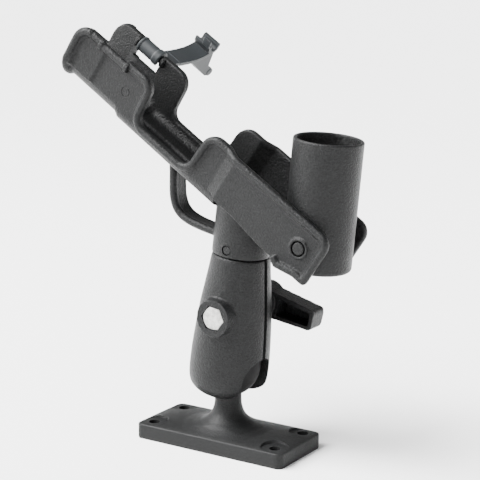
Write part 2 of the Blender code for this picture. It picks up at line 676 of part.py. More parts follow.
def make_cradle(look):
    outline = rounded(top_edge() + lower_edge(), 4)
    near = extruded("cradle", wall_plan(-1)[::-1], 'XY', -4 * MM, 44 * MM)
    side_view = extruded("side_view_near", outline[::-1], 'XZ', -40 * MM, 0.0)
    common(near, tool(side_view, CRADLE))
    far = extruded("far_wall", wall_plan(1)[::-1], 'XY', -4 * MM, 44 * MM)
    side_view_far = extruded("side_view_far", outline[::-1], 'XZ', 0.0, 40 * MM)
    common(far, tool(side_view_far, CRADLE))
    weld(near, tool(far, CRADLE))
    add_floor(near)
    add_post(near)
    add_finger_loop(near)
    add_bars(near)
    for side in (-1, 1):
        tag = "_far" if side > 0 else "_near"
        inner, outer = side * (TAIL_HALF_WIDTH - 1 * MM), side * (TAIL_HALF_WIDTH + 0.8 * MM)
        ring_start, ring_end = sorted((inner, outer))
        ring = cylinder("pin_ring" + tag, 6.6 * MM, ring_start, ring_end, 'Y', (PIN_X, 0, PIN_Z), 28)
        weld(near, tool(ring, CRADLE))
        low, high = sorted((side * 15 * MM, side * 30 * MM))
        carve(near, tool(cylinder("pin_hole" + tag, PIN_HOLE_RADIUS, low, high, 'Y', (PIN_X, 0, PIN_Z), 24),
                       CRADLE))
    bore = cylinder("post_bore", SPLINE_RADIUS + GAP, -30 * MM, SPLINE_TOP - CRADLE_HEIGHT, steps=32)
    bore.data.transform(Matrix.Rotation(-CRADLE_TILT, 4, 'Y'))
    carve(near, tool(bore, CRADLE))
    x, z = from_arm(0, POST_PIN_HEIGHT)
    carve(near, tool(cylinder("post_pin_hole", POST_PIN_RADIUS + GAP, -19 * MM, 19 * MM, 'Y', (x, 0, z), 20),
                   CRADLE))
    return finish(near, CRADLE, look)


# ---------------------------------------------------------------- butt tube

def make_butt_tube(look):
    """An open tube with rounded rims and a narrow stop lip at its lower end."""
    top, low = TUBE_ABOVE_PIN, -TUBE_BELOW_PIN
    mid = (TUBE_RADIUS + TUBE_BORE) / 2
    lip = 15.5 * MM
    profile = [(mid, top), (TUBE_RADIUS - 0.3 * MM, top - 0.35 * MM), (TUBE_RADIUS, top - 1.1 * MM),
               (TUBE_RADIUS, low + 2.5 * MM), (TUBE_RADIUS - 0.8 * MM, low + 0.8 * MM),
               (TUBE_RADIUS - 2.5 * MM, low), (lip, low), (lip, low + 2.4 * MM),
               (TUBE_BORE, low + 2.4 * MM), (TUBE_BORE, top - 1.1 * MM),
               (TUBE_BORE + 0.3 * MM, top - 0.35 * MM), (mid, top)]
    tube = turned("butt_tube", profile, 40)
    cut(tube, tool(cylinder("shank_holes", 2.4 * MM + GAP, -25 * MM, 25 * MM, 'Y', (0, 0, 0), 16), TUBE))
    return finish(tube, TUBE, look)


def make_pivot_pin(name, side, look):
    """A round-headed pin through the cradle's wall into the tube."""
    start, end = TAIL_GAP + 0.1 * MM, TAIL_HALF_WIDTH + 0.6 * MM
    head = cylinder(name, PIN_HEAD_RADIUS, start, end, 'Y', (0, 0, 0), 24)
    shank = cylinder(name + "_shank", 2.4 * MM, 15.6 * MM, TAIL_GAP + 0.6 * MM, 'Y', (0, 0, 0), 16)
    if side < 0:
        for part in (head, shank):
            part.data.transform(Matrix.Rotation(math.pi, 4, 'Z'))
    join(bevel(head, 0.4 * MM, 1), tool(shank, TUBE))
    return finish(head, TUBE, look)


def make_push_nut(name, side, look):
    """The spring-steel ring that keeps a pivot pin in the tube."""
    ring = cylinder(name, 4.9 * MM, 16.1 * MM, 16.75 * MM, 'Y', (0, 0, 0), 24)
    hole = cylinder(name + "_hole", 2.4 * MM + GAP, 10 * MM, 20 * MM, 'Y', (0, 0, 0), 16)
    if side < 0:
        for part in (ring, hole):
            part.data.transform(Matrix.Rotation(math.pi, 4, 'Z'))
    cut(ring, tool(hole, TUBE))
    return finish(ring, TUBE, look)


# ---------------------------------------------------------------- latch

def strap_band(points, thickness):
    """An outline round a line of (y, z) points, thickness wide, relative to the latch's axis."""
    path = [Vector((y * MM - BAR_Y, z * MM - BAR_Z)) for y, z in points]
    above, below = [], []
    for index, here in enumerate(path):
        along = (path[min(index + 1, len(path) - 1)] - path[max(index - 1, 0)]).normalized()
        across = Vector((-along.y, along.x)) * thickness / 2
        above.append(tuple(here + across))
        below.append(tuple(here - across))
    return below + above[::-1]


def latch_ring(centre, outer, inner, start, end, steps=12):
    """A C-shaped outline about centre, open outside start..end degrees."""
    return arc(centre, outer, start, end, steps) + arc(centre, inner, end, start, steps)


def make_latch_clip(look):
    """The clip that snaps on the far bar, and the strap's first half."""
    clip = extruded("latch_clip", latch_ring((0, 0), CLIP_RADIUS, BAR_RADIUS + GAP, -48, 226, 20), 'YZ',
                    BAR_START + 1.5 * MM, BAR_END - 1.5 * MM)
    middle = FLEX_Z / MM - STRAP_THICKNESS / MM / 2
    end = FLEX_Y / MM - 0.15
    strap = strap_band([(21.3, 31.6), (24.5, 29.6), (29, 27.7), (34, 26.7), (39, middle), (end, middle)],
                       STRAP_THICKNESS)
    join(clip, tool(extruded("strap_root", strap, 'YZ', STRAP_START, STRAP_END), LATCH))
    return finish(clip, LATCH, look)


def make_latch_hook(look):
    """The strap's outer half, with the claw for the near bar and the thumb tab."""
    middle = FLEX_Z / MM - STRAP_THICKNESS / MM / 2
    start = FLEX_Y / MM + 0.15
    strap = strap_band([(start, middle), (50, 26.4), (56, 26.8), (62, 27.6), (67, 28.9), (71, 30.5),
                        (75.0, 32.3)], STRAP_THICKNESS)
    hook = extruded("latch_hook", strap, 'YZ', STRAP_START, STRAP_END)
    centre = (74.5 * MM - BAR_Y, 36.9 * MM - BAR_Z)
    claw = latch_ring(centre, 5.3 * MM, BAR_RADIUS + 0.4 * MM, -186, 27, 14)
    join(hook, tool(extruded("claw", claw, 'YZ', STRAP_START, STRAP_END), LATCH))
    tab = [(y * MM - BAR_Y, z * MM - BAR_Z, r * MM) for y, z, r in (
        (59, 25.6, 1), (84.5, 12.6, 2), (90.2, 13.2, 2.2), (88.6, 18.3, 2), (82.4, 20.6, 3), (79.2, 31.5, 2),
        (76.5, 33.0, 1), (66, 28.3, 1))]
    join(hook, tool(extruded("thumb_tab", rounded(tab, 3)[::-1], 'YZ', STRAP_START + 1 * MM,
                             STRAP_END - 1 * MM), LATCH))
    return finish(hook, LATCH, look)


# ---------------------------------------------------------------- assembly

def main():
    composite = material("dark_composite", (0.055, 0.057, 0.058), 0.62)
    painted = material("painted_alloy", (0.060, 0.062, 0.063), 0.55)
    rubber = material("ball_rubber", (0.030, 0.030, 0.031), 0.80)
    steel = material("stainless_steel", (0.72, 0.71, 0.69), 0.28, 1.0)
    spring_steel = material("spring_steel", (0.45, 0.45, 0.46), 0.35, 1.0)
    brass = material("brass", (0.78, 0.60, 0.30), 0.35, 1.0)
    acetal = material("white_acetal", (0.80, 0.80, 0.78), 0.45)
    nylon = material("smooth_nylon", (0.075, 0.080, 0.085), 0.42)

    make_base_plate(painted)
    make_ball_cover(rubber)
    make_arm_half("arm_front_half", -1, composite)
    make_arm_half("arm_rear_half", 1, composite)
    make_bolt(steel)
    make_spring(spring_steel)
    make_washer(acetal)
    make_knob(composite)
    make_knob_nut(brass)
    make_spline_post(composite)
    make_post_pin(composite)
    make_cradle(composite)
    make_butt_tube(composite)
    for side, tag in ((-1, "near"), (1, "far")):
        make_pivot_pin("pivot_pin_" + tag, side, nylon)
        make_push_nut("push_nut_" + tag, side, spring_steel)
    make_latch_clip(nylon)
    make_latch_hook(nylon)
    bpy.context.view_layer.update()


main()
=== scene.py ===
"""The looks of the fishing rod holder: moulded pieces, their materials, and a plain studio."""
import json
import math

import bmesh
import bpy
from mathutils import Matrix, Vector


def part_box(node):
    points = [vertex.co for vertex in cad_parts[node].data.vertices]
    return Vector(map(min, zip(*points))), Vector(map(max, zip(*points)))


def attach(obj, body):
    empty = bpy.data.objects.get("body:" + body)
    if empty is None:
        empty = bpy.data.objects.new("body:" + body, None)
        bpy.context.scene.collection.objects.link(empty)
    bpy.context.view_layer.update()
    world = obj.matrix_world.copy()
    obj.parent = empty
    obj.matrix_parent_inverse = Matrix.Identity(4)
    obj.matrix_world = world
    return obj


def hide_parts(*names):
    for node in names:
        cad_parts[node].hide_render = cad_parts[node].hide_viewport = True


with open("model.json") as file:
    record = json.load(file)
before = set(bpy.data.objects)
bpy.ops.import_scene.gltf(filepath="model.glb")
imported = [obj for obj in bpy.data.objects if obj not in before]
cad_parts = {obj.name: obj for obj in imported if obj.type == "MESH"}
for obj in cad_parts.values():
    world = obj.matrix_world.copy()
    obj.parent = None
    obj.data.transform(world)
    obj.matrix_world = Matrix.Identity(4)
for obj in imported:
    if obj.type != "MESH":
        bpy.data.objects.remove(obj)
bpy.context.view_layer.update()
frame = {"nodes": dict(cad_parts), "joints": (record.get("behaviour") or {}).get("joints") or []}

JOINTS = {joint["name"]: joint for joint in frame["joints"]}
MM = 0.001


# ---------------------------------------------------------------- frames

def joint_point(name):
    return Vector(JOINTS[name]["pos_m"])


def joint_axis(name):
    return Vector(JOINTS[name]["axis"])


def turned_frame(origin, angle):
    """A frame at origin, turned about Y."""
    return Matrix.Translation(origin) @ Matrix.Rotation(angle, 4, 'Y')


CRADLE_HEIGHT = 89.0 * MM
TUBE_LEAN = math.radians(4.9)
WING_ANGLE = math.radians(5.5)
BALL = joint_point("ball_turn")
ARM_LEAN = math.atan2(joint_axis("head_turn").x, joint_axis("head_turn").z)
CRADLE_LEAN = math.atan2(-joint_axis("latch_hinge").z, joint_axis("latch_hinge").x)
CRADLE_TILT = CRADLE_LEAN - ARM_LEAN
IDENTITY = Matrix.Identity(4)
ARM = turned_frame(BALL, ARM_LEAN)
CRADLE = turned_frame(ARM @ Vector((0, 0, CRADLE_HEIGHT)), CRADLE_LEAN)
TUBE = turned_frame(joint_point("tube_pivot"), TUBE_LEAN)
BOLT = turned_frame(joint_point("knob_turn"), ARM_LEAN)
KNOB = turned_frame(joint_point("knob_turn"), ARM_LEAN + WING_ANGLE)
PIN = CRADLE.inverted() @ joint_point("tube_pivot")
BAR = CRADLE.inverted() @ joint_point("latch_hinge")
FLEX = CRADLE.inverted() @ joint_point("strap_bend")


def joint_height(name):
    """A joint's height along the arm."""
    return (ARM.inverted() @ joint_point(name)).z


def from_arm(x, z):
    """A point of the arm's XZ plane, in millimetres, in the cradle's plane."""
    here = CRADLE.inverted() @ (ARM @ Vector((x * MM, 0, z * MM)))
    return (here.x, here.z)


# ---------------------------------------------------------------- sizes

SCREW_X = 42.5 * MM
SCREW_Y = 16 * MM
BALL_RADIUS = 19.05 * MM
SOCKET_RADIUS = 19.35 * MM
ARM_TOP = 68.5 * MM
ARM_BOTTOM = -18.3 * MM
FRONT_SPLIT = -0.6 * MM
REAR_SPLIT = 2.5 * MM
REAR_SHIFT = 1.7 * MM
MOUTH_RADIUS = 10.8 * MM
NOTCH_HALF_WIDTH = 13.5 * MM
NOTCH_TOP = 9.2 * MM
NOTCH_CORNER = 13.2 * MM
BOSS_RADIUS = 11.0 * MM
FRONT_BOSS = 24.0 * MM
REAR_BOSS = 23.8 * MM
HEAD_FLATS = 12.7 * MM
HEAD_THICKNESS = 5.3 * MM
BOLT_RADIUS = 3.97 * MM
BOLT_END = 37.3 * MM
THREAD_PITCH = 1.41 * MM
THREAD_TURNS = 7
KNOB_START = 25.3 * MM
KNOB_END = 41.0 * MM
WING_LENGTH = 37.5 * MM
POST_RADIUS = 17.0 * MM
COLLAR_BORE = 10.8 * MM
POST_PIN_HEIGHT = 73.4
WALL = 3.0 * MM
SADDLE_HALF = 18.5 * MM
TAIL_HALF = 23.0 * MM
TAIL_FACE = TAIL_HALF - 0.4 * MM
TAIL_GAP = 20.4 * MM
STEP_START = -22.2 * MM
STEP_END = -15.4 * MM
WINDOW = (-125.5 * MM, -105.5 * MM)
BAR_RADIUS = 2.5 * MM
NEAR_BAR_Y = -19.4 * MM
TUBE_RADIUS = 20.0 * MM
TUBE_BORE = 17.8 * MM
TUBE_TOP = 59.2 * MM
TUBE_BOTTOM = -15.3 * MM
STRAP_ENDS = (-121.5 * MM, -108.5 * MM)
STRAP_THICKNESS = 2.6 * MM


# ---------------------------------------------------------------- mesh tools

def mesh_object(name, build):
    bm = bmesh.new()
    build(bm)
    data = bpy.data.meshes.new(name)
    bm.to_mesh(data)
    bm.free()
    made = bpy.data.objects.new(name, data)
    bpy.context.scene.collection.objects.link(made)
    return made


def drop(thing):
    data = thing.data
    bpy.data.objects.remove(thing, do_unlink=True)
    if data.users == 0:
        bpy.data.meshes.remove(data)


def cylinder(radius, start, end, axis='Z', centre=(0, 0, 0), steps=96, end_radius=None):
    turn = {'Z': Matrix.Identity(4), 'X': Matrix.Rotation(math.pi / 2, 4, 'Y'),
            'Y': Matrix.Rotation(-math.pi / 2, 4, 'X')}[axis]
    along = Vector({'Z': (0, 0, 1), 'X': (1, 0, 0), 'Y': (0, 1, 0)}[axis])
    matrix = Matrix.Translation(Vector(centre) + along * (start + end) / 2) @ turn
    last = radius if end_radius is None else end_radius
    return mesh_object("cylinder", lambda bm: bmesh.ops.create_cone(
        bm, cap_ends=True, segments=steps, radius1=radius, radius2=last, depth=end - start, matrix=matrix))


def hexagon(flats, start, end):
    """A hexagonal prism along Y with a corner up."""
    made = cylinder(flats / math.sqrt(3), start, end, 'Y', (0, 0, 0), 6)
    made.data.transform(Matrix.Rotation(math.pi / 6, 4, 'Y'))
    return made


def box(low, high):
    low, high = Vector(low), Vector(high)
    matrix = Matrix.Translation((low + high) / 2) @ Matrix.Diagonal((*(high - low), 1.0))
    return mesh_object("box", lambda bm: bmesh.ops.create_cube(bm, size=1.0, matrix=matrix))


def sphere(radius):
    return mesh_object("sphere", lambda bm: bmesh.ops.create_uvsphere(
        bm, u_segments=96, v_segments=48, radius=radius))


def torus(major, minor, centre):
    """A ring round the Y direction through centre."""
    sides = 16
    ring = [(major + minor * math.cos(2 * math.pi * k / sides), minor * math.sin(2 * math.pi * k / sides))
            for k in range(sides)]
    made = turned(ring + ring[:1], 64)
    made.data.transform(Matrix.Rotation(math.pi / 2, 4, 'X'))
    made.data.transform(Matrix.Translation(centre))
    return made


def turned(profile, steps):
    """A closed profile of (radius, height) points turned about Z."""
    def build(bm):
        points = [bm.verts.new((radius, 0, height)) for radius, height in profile]
        edges = [bm.edges.new(pair) for pair in zip(points, points[1:])]
        bmesh.ops.spin(bm, geom=points + edges, cent=(0, 0, 0), axis=(0, 0, 1), angle=2 * math.pi,
                       steps=steps, use_merge=True)
        bmesh.ops.remove_doubles(bm, verts=bm.verts, dist=0.000002)
        bmesh.ops.recalc_face_normals(bm, faces=bm.faces)
    return mesh_object("turned", build)


def arc(centre, radius, start, end, steps):
    points = []
    for step in range(steps + 1):
        angle = math.radians(start + (end - start) * step / steps)
        points.append((centre[0] + radius * math.cos(angle), centre[1] + radius * math.sin(angle)))
    return points


def rounded(corners, steps=8, closed=True):
    """An outline through (x, y, radius) corners, each rounded to its radius."""
    count = len(corners)
    points = []
    for index, (x, y, radius) in enumerate(corners):
        if radius == 0 or (not closed and index in (0, count - 1)):
            points.append((x, y))
            continue
        here = Vector((x, y))
        before = Vector(corners[index - 1][:2]) - here
        after = Vector(corners[(index + 1) % count][:2]) - here
        half = before.angle(after) / 2
        first = here + before.normalized() * radius / math.tan(half)
        middle = here + (before.normalized() + after.normalized()).normalized() * radius / math.sin(half)
        turn = -1 if before.x * after.y - before.y * after.x < 0 else 1
        ray = first - middle
        for step in range(steps + 1):
            angle = -turn * (math.pi - 2 * half) * step / steps
            points.append((middle.x + ray.x * math.cos(angle) - ray.y * math.sin(angle),
                           middle.y + ray.x * math.sin(angle) + ray.y * math.cos(angle)))
    return points


PLANES = {'XY': Matrix.Identity(4),
          'XZ': Matrix(((1, 0, 0, 0), (0, 0, -1, 0), (0, 1, 0, 0), (0, 0, 0, 1))),
          'YZ': Matrix(((0, 0, 1, 0), (1, 0, 0, 0), (0, 1, 0, 0), (0, 0, 0, 1)))}


def extruded(outline, plane, start, end):
    """A flat outline given in a plane, extruded across it from start to end."""
    if plane == 'XZ':
        start, end = -end, -start

    def build(bm):
        points = [bm.verts.new((u, v, start)) for u, v in outline]
        face = bm.faces.new(points)
        swept = bmesh.ops.extrude_face_region(bm, geom=[face])
        moved = [item for item in swept["geom"] if isinstance(item, bmesh.types.BMVert)]
        bmesh.ops.translate(bm, verts=moved, vec=(0, 0, end - start))
        bmesh.ops.transform(bm, matrix=PLANES[plane], verts=bm.verts)
        bmesh.ops.recalc_face_normals(bm, faces=bm.faces)
    return mesh_object("extruded", build)


def rod(path, radius, sides):
    """A round rod along a path of points, its sections carried along without twist."""
    points = [Vector(point) for point in path]

    def build(bm):
        rings = []
        last = across = None
        for index, here in enumerate(points):
            along = (points[min(index + 1, len(points) - 1)] - points[max(index - 1, 0)]).normalized()
            if last is None:
                across = along.orthogonal().normalized()
            else:
                across = last.rotation_difference(along) @ across
            last = along
            upward = along.cross(across)
            rings.append([bm.verts.new(here + radius * (across * math.cos(2 * math.pi * k / sides)
                                                        + upward * math.sin(2 * math.pi * k / sides)))
                          for k in range(sides)])
        for first, second in zip(rings, rings[1:]):
            for k in range(sides):
                bm.faces.new((first[k], first[(k + 1) % sides], second[(k + 1) % sides], second[k]))
        bm.faces.new(rings[0][::-1])
        bm.faces.new(rings[-1])
        bmesh.ops.recalc_face_normals(bm, faces=bm.faces)
    return mesh_object("rod", build)


def band(path, thickness):
    """An outline round a line of points, thickness wide."""
    points = [Vector(point) for point in path]
    above, below = [], []
    for index, here in enumerate(points):
        along = (points[min(index + 1, len(points) - 1)] - points[max(index - 1, 0)]).normalized()
        across = Vector((-along.y, along.x)) * thickness / 2
        above.append(tuple(here + across))
        below.append(tuple(here - across))
    return below + above[::-1]


def spline(points, steps):
    """A smooth curve through points, as a list of points."""
    known = [Vector(point) for point in points]
    line = []
    for index in range(len(known) - 1):
        before = known[max(index - 1, 0)]
        first, second = known[index], known[index + 1]
        after = known[min(index + 2, len(known) - 1)]
        for step in range(steps):
            t = step / steps
            line.append(0.5 * ((2 * first) + (second - before) * t
                               + (2 * before - 5 * first + 4 * second - after) * t * t
                               + (3 * first - before - 3 * second + after) * t * t * t))
    line.append(known[-1])
    return line


def applied(thing):
    """Replace an object's mesh with what its modifiers make of it."""
    graph = bpy.context.evaluated_depsgraph_get()
    data = bpy.data.meshes.new_from_object(thing.evaluated_get(graph))
    old = thing.data
    thing.modifiers.clear()
    thing.data = data
    bpy.data.meshes.remove(old)
    return thing


def combine(thing, others, operation):
    for other in others:
        step = thing.modifiers.new("combine", 'BOOLEAN')
        step.operation = operation
        step.solver = 'MANIFOLD'
        step.object = other
    applied(thing)
    for other in others:
        drop(other)
    return thing


def cut(thing, *others):
    return combine(thing, others, 'DIFFERENCE')


def common(thing, *others):
    return combine(thing, others, 'INTERSECT')


def moulded(solids, voxel, smoothing):
    """Fuse overlapping solids into one skin, and round its edges as a mould does."""
    bm = bmesh.new()
    for solid in solids:
        bm.from_mesh(solid.data)
        drop(solid)
    data = bpy.data.meshes.new("moulded")
    bm.to_mesh(data)
    bm.free()
    made = bpy.data.objects.new("moulded", data)
    bpy.context.scene.collection.objects.link(made)
    remesh = made.modifiers.new("fuse", 'REMESH')
    remesh.mode = 'VOXEL'
    remesh.voxel_size = voxel
    round_off = made.modifiers.new("round", 'SMOOTH')
    round_off.factor = 0.5
    round_off.iterations = smoothing
    return applied(made)


def piece(thing, name, body, look, *nodes, matrix=IDENTITY, sharp=None):
    """Name a finished piece, put it in its frame, and let it ride on its body."""
    thing.name = name
    thing.data.name = name
    thing.data.transform(matrix)
    thing.data.materials.clear()
    thing.data.materials.append(look)
    thing.data.shade_smooth()
    if sharp is not None:
        thing.data.set_sharp_from_angle(angle=math.radians(sharp))
    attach(thing, body)
    if nodes:
        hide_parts(*nodes)
    return thing


# ---------------------------------------------------------------- materials

def new_material(name):
    made = bpy.data.materials.new(name)
    made.use_nodes = True
    nodes = made.node_tree.nodes
    return made, nodes, made.node_tree.links, nodes["Principled BSDF"]


def noise_node(nodes, links, where, scale, detail, roughness=0.5):
    made = nodes.new("ShaderNodeTexNoise")
    made.inputs["Scale"].default_value = scale
    made.inputs["Detail"].default_value = detail
    made.inputs["Roughness"].default_value = roughness
    links.new(where, made.inputs["Vector"])
    return made


def ramp_node(nodes, links, value, stops):
    made = nodes.new("ShaderNodeValToRGB")
    ramp = made.color_ramp
    ramp.elements[0].position, ramp.elements[0].color = stops[0][0], (*stops[0][1], 1)
    ramp.elements[1].position, ramp.elements[1].color = stops[-1][0], (*stops[-1][1], 1)
    for position, colour in stops[1:-1]:
        element = ramp.elements.new(position)
        element.color = (*colour, 1)
    links.new(value, made.inputs["Fac"])
    return made


def grey(value):
    return (value, value, value)


def moulded_material(name, colour, roughness, grain_size, grain_depth, mottle=0.12, wear=0.30,
                     speckle=0.45, gloss=0.15):
    """Moulded plastic or paint: a stippled grain, faint clouds of colour, and paler worn edges."""
    made, nodes, links, shader = new_material(name)
    where = nodes.new("ShaderNodeTexCoord").outputs["Object"]
    grain = noise_node(nodes, links, where, 0.6 / grain_size, 2.5, 0.6)
    clouds = noise_node(nodes, links, where, 38.0, 3.0)
    scuffs = noise_node(nodes, links, where, 210.0, 5.0, 0.7)

    tint = ramp_node(nodes, links, clouds.outputs["Fac"],
                     [(0.30, [c * (1 - mottle) for c in colour]),
                      (0.72, [c * (1 + mottle) for c in colour])])
    speck = ramp_node(nodes, links, grain.outputs["Fac"],
                      [(0.36, grey(1 - speckle)), (0.66, grey(1 + speckle))])
    shader.inputs["Specular IOR Level"].default_value = gloss
    stippled = nodes.new("ShaderNodeMix")
    stippled.data_type = 'RGBA'
    stippled.blend_type = 'MULTIPLY'
    stippled.inputs["Factor"].default_value = 1.0
    links.new(tint.outputs["Color"], stippled.inputs["A"])
    links.new(speck.outputs["Color"], stippled.inputs["B"])

    edges = nodes.new("ShaderNodeNewGeometry").outputs["Pointiness"]
    worn = ramp_node(nodes, links, edges, [(0.505, grey(0.0)), (0.56, grey(wear))])
    patchy = nodes.new("ShaderNodeMath")
    patchy.operation = 'MULTIPLY'
    links.new(worn.outputs["Color"], patchy.inputs[0])
    links.new(scuffs.outputs["Fac"], patchy.inputs[1])
    paler = nodes.new("ShaderNodeMix")
    paler.data_type = 'RGBA'
    links.new(patchy.outputs[0], paler.inputs["Factor"])
    links.new(stippled.outputs["Result"], paler.inputs["A"])
    paler.inputs["B"].default_value = (*[min(1.0, c * 3.0 + 0.006) for c in colour], 1)
    links.new(paler.outputs["Result"], shader.inputs["Base Color"])

    sheen = ramp_node(nodes, links, clouds.outputs["Fac"],
                      [(0.25, grey(roughness - 0.05)), (0.75, grey(min(1.0, roughness + 0.07)))])
    links.new(sheen.outputs["Color"], shader.inputs["Roughness"])
    bump = nodes.new("ShaderNodeBump")
    bump.inputs["Strength"].default_value = 1.0
    bump.inputs["Distance"].default_value = grain_depth
    links.new(grain.outputs["Fac"], bump.inputs["Height"])
    links.new(bump.outputs["Normal"], shader.inputs["Normal"])
    return made


def metal_material(name, colour, roughness):
    """Bare metal with fine machining marks, smudges and a little tarnish."""
    made, nodes, links, shader = new_material(name)
    where = nodes.new("ShaderNodeTexCoord").outputs["Object"]
    stretch = nodes.new("ShaderNodeMapping")
    stretch.inputs["Scale"].default_value = (1.0, 1.0, 7.0)
    links.new(where, stretch.inputs["Vector"])
    marks = noise_node(nodes, links, stretch.outputs["Vector"], 420.0, 6.0, 0.75)
    smudges = noise_node(nodes, links, where, 520.0, 4.0, 0.65)
    tint = ramp_node(nodes, links, smudges.outputs["Fac"],
                     [(0.32, [c * 0.62 for c in colour]), (0.62, [min(1.0, c * 1.12) for c in colour])])
    links.new(tint.outputs["Color"], shader.inputs["Base Color"])
    dull = ramp_node(nodes, links, marks.outputs["Fac"],
                     [(0.3, grey(roughness * 0.8)), (0.7, grey(roughness * 1.35))])
    links.new(dull.outputs["Color"], shader.inputs["Roughness"])
    shader.inputs["Metallic"].default_value = 1.0
    bump = nodes.new("ShaderNodeBump")
    bump.inputs["Strength"].default_value = 0.35
    bump.inputs["Distance"].default_value = 0.00004
    links.new(marks.outputs["Fac"], bump.inputs["Height"])
    links.new(bump.outputs["Normal"], shader.inputs["Normal"])
    return made


COMPOSITE = moulded_material("grained_composite", (0.0050, 0.0052, 0.0053), 0.42, 0.62 * MM, 0.55 * MM,
                             mottle=0.10, speckle=0.60)
PAINT = moulded_material("painted_alloy", (0.0054, 0.0056, 0.0057), 0.52, 0.45 * MM, 0.24 * MM,
                         mottle=0.08, speckle=0.60)
NYLON = moulded_material("smooth_nylon", (0.0130, 0.0150, 0.0165), 0.50, 0.40 * MM, 0.03 * MM,
                         mottle=0.08, speckle=0.15, gloss=0.24)
RUBBER = moulded_material("ball_rubber", (0.0045, 0.0045, 0.0046), 0.72, 0.5 * MM, 0.05 * MM, wear=0.1)
STEEL = metal_material("stainless_steel", (0.50, 0.495, 0.475), 0.46)
SPRING = metal_material("spring_steel", (0.46, 0.46, 0.47), 0.32)
BRASS = metal_material("brass", (0.78, 0.60, 0.30), 0.33)
ACETAL = moulded_material("white_acetal", (0.78, 0.78, 0.75), 0.45, 0.8 * MM, 0.01 * MM,
                          mottle=0.05, wear=0.0)


# ---------------------------------------------------------------- base

FLARE = [(r * MM, z * MM) for r, z in (
    (0, 13.7), (8.15, 13.7), (8.6, 11.0), (9.5, 8.4), (11.1, 5.9), (13.4, 3.8), (16.6, 2.1), (21.0, 0.8),
    (27.0, 0))]


def crown_height(x, y, length, width):
    """Height of the plate's top: a low crown that dies out at the edges, and the flare up to the neck."""
    distance = math.hypot(x, y)
    flare = 0.0
    for (near, high), (far, low) in zip(FLARE, FLARE[1:]):
        if near <= distance < far:
            flare = high + (low - high) * (distance - near) / (far - near)
    along = max(0.0, 1 - (2 * x / length) ** 6)
    across = max(0.0, 1 - (2 * y / width) ** 2)
    return 9.2 * MM + 2.7 * MM * along * across ** 0.75 + flare * min(1.0, 1.6 * across)


def crown_solid(length, width):
    columns, rows = 150, 74

    def build(bm):
        def layer(height):
            return [[bm.verts.new((length * (i / columns - 0.5), width * (j / rows - 0.5),
                                   height(length * (i / columns - 0.5), width * (j / rows - 0.5))))
                     for j in range(rows + 1)] for i in range(columns + 1)]
        top = layer(lambda x, y: crown_height(x, y, length, width))
        low = layer(lambda x, y: 2 * MM)
        for i in range(columns):
            for j in range(rows):
                bm.faces.new((top[i][j], top[i + 1][j], top[i + 1][j + 1], top[i][j + 1]))
                bm.faces.new((low[i][j], low[i][j + 1], low[i + 1][j + 1], low[i + 1][j]))
        for i in range(columns):
            for j, turn in ((0, 1), (rows, -1)):
                face = (low[i][j], low[i + 1][j], top[i + 1][j], top[i][j])
                bm.faces.new(face[::turn])
        for j in range(rows):
            for i, turn in ((0, -1), (columns, 1)):
                face = (low[i][j], low[i][j + 1], top[i][j + 1], top[i][j])
                bm.faces.new(face[::turn])
    return mesh_object("crown", build)


def rounded_plate(half_length, half_width, corner, start, end):
    corners = [(x * half_length, y * half_width, corner) for x, y in ((-1, -1), (1, -1), (1, 1), (-1, 1))]
    return extruded(rounded(corners), 'XY', start, end)


def make_base():
    low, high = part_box("base_plate")
    length, width = high.x - low.x, high.y - low.y
    inset = 0.7 * MM
    plate = rounded_plate(length / 2, width / 2, 4 * MM, 0.0, 9.1 * MM)
    crown = crown_solid(length - 2 * inset, width - 2 * inset)
    common(crown, rounded_plate(length / 2 - inset, width / 2 - inset, 3.4 * MM, 1 * MM, 40 * MM))
    neck = turned([(0, BALL.z - 4 * MM), (8 * MM, BALL.z - 4 * MM), (8 * MM, 28 * MM), (8.15 * MM, 25 * MM),
                   (8.6 * MM, 22.4 * MM), (9.3 * MM, 20.0 * MM), (9.3 * MM, 5 * MM), (0, 5 * MM)], 96)
    plate = moulded([plate, crown, neck], 0.55 * MM, 4)
    holes = []
    for x in (-SCREW_X, SCREW_X):
        for y in (-SCREW_Y, SCREW_Y):
            centre = (x, y, 0)
            holes.append(cylinder(8.2 * MM, 9.35 * MM, 16 * MM, centre=centre, steps=64,
                                  end_radius=10.5 * MM))
            holes.append(cylinder(3.4 * MM, -2 * MM, 12 * MM, centre=centre, steps=48))
    cut(plate, *holes)
    cut(plate, box((-length, -width, -5 * MM), (length, width, 0.0)))
    piece(plate, "base_plate_body", "base", PAINT, "base_plate", sharp=50)
    core = BALL_RADIUS - 1.65 * MM
    angles = [math.radians(153) * step / 40 for step in range(41)]
    ball = turned([(core * math.sin(a), core * math.cos(a)) for a in angles] + [(0, -core * 0.6)], 96)
    piece(ball, "ball_core", "base", PAINT, matrix=Matrix.Translation(BALL))


def make_ball_cover():
    outer, inner = BALL_RADIUS, BALL_RADIUS - 1.35 * MM
    edge = math.radians(147)
    angles = [edge * step / 48 for step in range(49)]
    outside = [(outer * math.sin(a), outer * math.cos(a)) for a in angles]
    cover = turned(outside + [(inner * math.sin(a), inner * math.cos(a)) for a in reversed(angles)], 128)
    piece(cover, "ball_cover_skin", "ball_skin", RUBBER, "ball_cover", matrix=Matrix.Translation(BALL),
          sharp=50)


# ---------------------------------------------------------------- arm

def arm_profile():
    side = [(r * MM, z * MM) for r, z in (
        (16.7, 67.9), (17.3, 64), (18.0, 58), (19.5, 47), (21.0, 35), (22.1, 22), (22.9, 10), (23.1, 1),
        (22.9, -6), (22.0, -10.3), (20.0, -13.4), (16.8, -15.9), (13.4, -17.6), (11.6, -18.3))]
    return [(0, ARM_TOP), (16.1 * MM, ARM_TOP)] + [tuple(p) for p in spline(side, 4)] + [(0, ARM_BOTTOM)]


